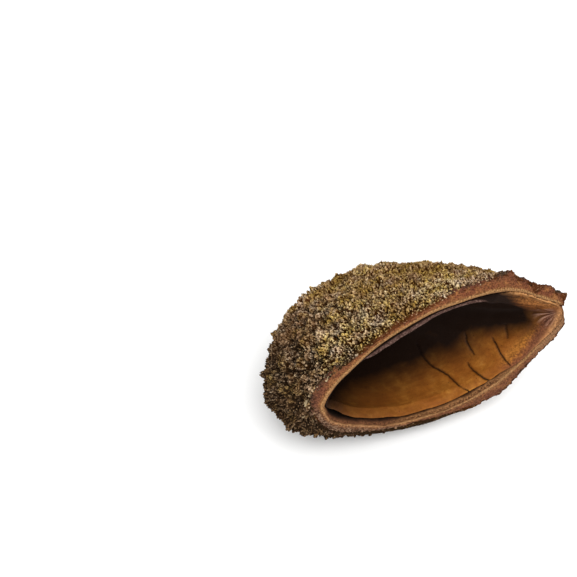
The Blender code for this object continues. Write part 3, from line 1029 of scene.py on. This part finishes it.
def crack_share(base, normals):
    """1 in the middle of a crack, fading over its width, which tapers to each end."""
    paths = [smooth_curve(crack, CRACK_SAMPLES) for crack in CRACKS]
    line = np.concatenate([path + CRACK_WAVE * np.sin(3.0 * path[:, [1, 2, 0]]) for path in paths])
    taper = np.tile(0.6 + 0.4 * np.sin(np.linspace(0.0, math.pi, CRACK_SAMPLES)), len(CRACKS))
    tree = tree_of(line)
    found = np.array([tree.find(spot)[1] for spot in base.reshape(-1, 3).tolist()]).reshape(base.shape[:-1])
    away = base - line[found]
    level = np.sum(away * normals, axis=-1)
    beside = np.linalg.norm(away - level[..., None] * normals, axis=-1)
    share = np.exp(-((beside / (CRACK_WIDTH * taper[found])) ** 2))
    return np.where(np.abs(level) < CRACK_REACH, share, 0.0)


def spot_share(base, spot, size):
    return smooth_step(1.4 * size, 0.6 * size, distance_from(base, spot))


def throat_ridges(base):
    """Ridges of fibre that fan out from the notch at the tip."""
    x, _, z = np.moveaxis(base, -1, 0)
    turn = np.arctan2(z - NOTCH[2], NOTCH[0] - x)
    far = distance_from(base, NOTCH)
    place = np.stack((turn * FIBRES_PER_RADIAN, far / FIBRE_LENGTH, 0.0 * far), axis=-1)
    return noise_at(place, 1.0, 17) + 0.6 * noise_at(place * np.array(FINER_FIBRES), 1.0, 18)


def make_lining():
    angle, disc = disc_grid(LINING_CELLS)
    rings = LINING_CELLS // 2
    step = (1.0 - disc) * rings
    ring = np.where(step < LIP_RINGS, step / LIP_RINGS, 1.0 + (step - LIP_RINGS) / (rings - LIP_RINGS))
    base = lining_base(angle, ring)
    normals = grid_normals(base, outward=False)
    lip, thin, shelf, slope = edge_weights(angle)
    inner = smooth_step(1.0, 1.15, ring)
    swell = inner * (0.35 * noise_at(base, 16.0, 15) + 0.1 * noise_at(base, 4.0, 16))
    ripple = (1.0 - inner) * 0.14 * noise_at(along_rim(angle, 2.5 * ring), (3.5, 0.6, 3.5), 13)
    throat, ridges = throat_at(base), throat_ridges(base)
    crack = crack_share(base, normals)
    grain = (0.04 + 0.1 * slope) * noise_at(base, 0.5, 14) * (1.0 - inner)
    fibrous = unit(throat + 0.6 * shelf * smooth_step(0.35, 0.5, ring) * (1.0 - inner))
    push = swell + ripple + grain + 0.3 * ridges * fibrous - CRACK_DEPTH * crack
    points = base + normals * push[..., None]
    on_shelf = smooth_step(1.1, 0.9, ring) * shelf
    ring_shift = 0.24 * bump_at(angle, 304, 22) - 0.18 * bump_at(angle, 350, 13)
    fibrous_ring = np.maximum(smooth_step(0.45, 0.65, ring), 1.0 - slope) * (1.0 - on_shelf)
    near_edge = smooth_step(1.05, 0.9, ring)
    far_in = 16.0 * smooth_step(0.3, 0.9, ring)
    lit_shelf = np.minimum(1.3 * shelf, 1.0) * near_edge
    lit_shelf = lit_shelf * smooth_step(57.0, 36.0, np.degrees(angle) + far_in)
    # Painted shade along the thin edge, in the groove under the lip and at the lip's corner
    groove = 0.58 + 0.2 * bump_at(angle, LIP_CORNER, 7)
    edge = smooth_step(0.42, 0.2, ring) * thin + smooth_step(0.0, -0.1, ring - groove) * lip
    edge = edge + 0.9 * near_edge * bump_at(angle, LIP_CORNER, 4)
    attributes = {
        "ring": ring + slope * ring_shift,
        "crack": unit(crack + 0.8 * spot_share(base, DARK_SPECK, 0.35)),
        "chip": 0.8 * spot_share(base, PALE_CHIP, 0.3),
        "throat": throat * unit(0.85 + 0.3 * ridges) * fibrous_ring,
        "fibre": unit(0.5 + 0.5 * ridges),
        # Stain and painted shade, lifted where the shelf is lit
        "stain_and_shade": stain_and_shade_at(base) * (1.0 - lit_shelf),
        "lip": smooth_step(1.1, 0.95, ring) * lip,
        "shelf": on_shelf,
        "slope": smooth_step(0.95, 0.75, ring) * slope,
        "edge": unit(edge),
        # Painted shade towards the base
        "shade": smooth_step(2.0, -30.0, base[..., 0]),
    }
    quads = grid_quads(*angle.shape, closed=False)
    make_piece("lining", points, quads, False, lining_material(), attributes)


def throat_at(base):
    """1 in the fibrous throat by the notch, fading back into the hollow."""
    side = base[..., 2] + THROAT_SLANT * base[..., 0] - THROAT_LINE
    return smooth_step(-1.5, 2.5, side) * smooth_step(24.0, 31.0, base[..., 0])


# Where the dark staining and painted shade deep in the hollow give way to golden brown, as (x, depth).
# Above this height they come nearer to the mouth.
STAIN_AND_SHADE_HEIGHT = -10.0
STAIN_AND_SHADE_EDGE = (
    (-36, 12.5), (-31, 13.5), (-26, 15.2), (-20, 17.2), (-13, 18.1), (-7, 17.4), (0, 17.0), (9, 15.8),
    (17, 12.8), (22, 12.0), (27, 10.5), (31, 8.6), (35.4, 6.6),
)


def stain_and_shade_at(base):
    """The dark staining and painted shade over the deep and upper part of the lining."""
    x, y, z = np.moveaxis(base, -1, 0)
    high = y - np.interp(x, *np.array(STAIN_AND_SHADE_EDGE).T) + 1.2 * np.maximum(z - STAIN_AND_SHADE_HEIGHT, 0.0)
    reach = 8.5 + 6.0 * smooth_step(20.0, -20.0, x)
    return smooth_step(-reach, 6.0, high) * smooth_step(41.0, 34.0, x)


# The floor is a square, this many metres from its middle to each side
FLOOR_HALF = 4.0


def make_floor():
    half = FLOOR_HALF
    corners = [(-half, -half, 0), (half, -half, 0), (half, half, 0), (-half, half, 0)]
    mesh = bpy.data.meshes.new("floor")
    mesh.from_pydata(corners, [], [(0, 1, 2, 3)])
    shader = Shader("pale_floor", 0.9, 0.2)
    clouds = shader.noise(3.0, 2.0)
    shader.colour(shader.ramp(clouds, (0.3, (0.95, 0.95, 0.945)), (0.7, (0.96, 0.96, 0.955))))
    mesh.materials.append(shader.material)
    floor = bpy.data.objects.new("floor", mesh)
    bpy.context.scene.collection.objects.link(floor)


# The camera looks along the photograph's azimuth and elevation, in degrees. Its place is measured from the
# shell's own origin, in millimetres.
AZIMUTH = -22
ELEVATION = 52
CAMERA_RIGHT = -44.23
CAMERA_UP = 23.85
CAMERA_BACK = 420.9
LENS = 85.0
SENSOR = 36.0
CLIP_START = 0.01
CLIP_END = 20.0

# Square soft lights, in metres and watts: name, azimuth, elevation, distance, size and power
LIGHTS = (("key", 10, 62, 0.9, 0.6, 4.0), ("fill", -60, 50, 1.2, 0.9, 2.2))
LIGHT_TARGET = (0.0, 0.0, 0.025)
SKY_STRENGTH = 1.0


def direction(azimuth, elevation):
    """The unit direction from the half towards a viewer at this azimuth and elevation, in degrees."""
    a, e = math.radians(azimuth), math.radians(elevation)
    return Vector((math.sin(a) * math.cos(e), -math.cos(a) * math.cos(e), math.sin(e)))


def make_camera():
    back = direction(AZIMUTH, ELEVATION)
    right = Vector((math.cos(math.radians(AZIMUTH)), math.sin(math.radians(AZIMUTH)), 0.0))
    up = back.cross(right)
    place = Vector(DRAWN_AT) + CAMERA_RIGHT * right + CAMERA_UP * up + CAMERA_BACK * back
    data = bpy.data.cameras.new("camera")
    data.lens = LENS
    data.sensor_width = SENSOR
    data.clip_start = CLIP_START
    data.clip_end = CLIP_END
    camera = bpy.data.objects.new("camera", data)
    turn = Matrix((right, up, back)).transposed().to_4x4()
    camera.matrix_world = Matrix.Translation(place / MM_PER_METRE) @ turn
    bpy.context.scene.collection.objects.link(camera)
    bpy.context.scene.camera = camera


def add_light(name, azimuth, elevation, distance, size, power):
    """A square soft light that looks at the middle of the half."""
    data = bpy.data.lights.new(name, "AREA")
    data.size = size
    data.energy = power
    light = bpy.data.objects.new(name, data)
    away = direction(azimuth, elevation)
    light.location = Vector(LIGHT_TARGET) + away * distance
    light.rotation_euler = (-away).to_track_quat("-Z", "Y").to_euler()
    bpy.context.scene.collection.objects.link(light)


def make_lights():
    for light in LIGHTS:
        add_light(*light)
    world = bpy.data.worlds.new("studio")
    world.use_nodes = True
    background = world.node_tree.nodes["Background"]
    background.inputs["Color"].default_value = (1.0, 1.0, 1.0, 1.0)
    background.inputs["Strength"].default_value = SKY_STRENGTH
    bpy.context.scene.world = world
    bpy.context.scene.view_settings.view_transform = "Standard"


make_camera()
make_lights()
make_floor()
make_crust()
make_rim()
make_lining()
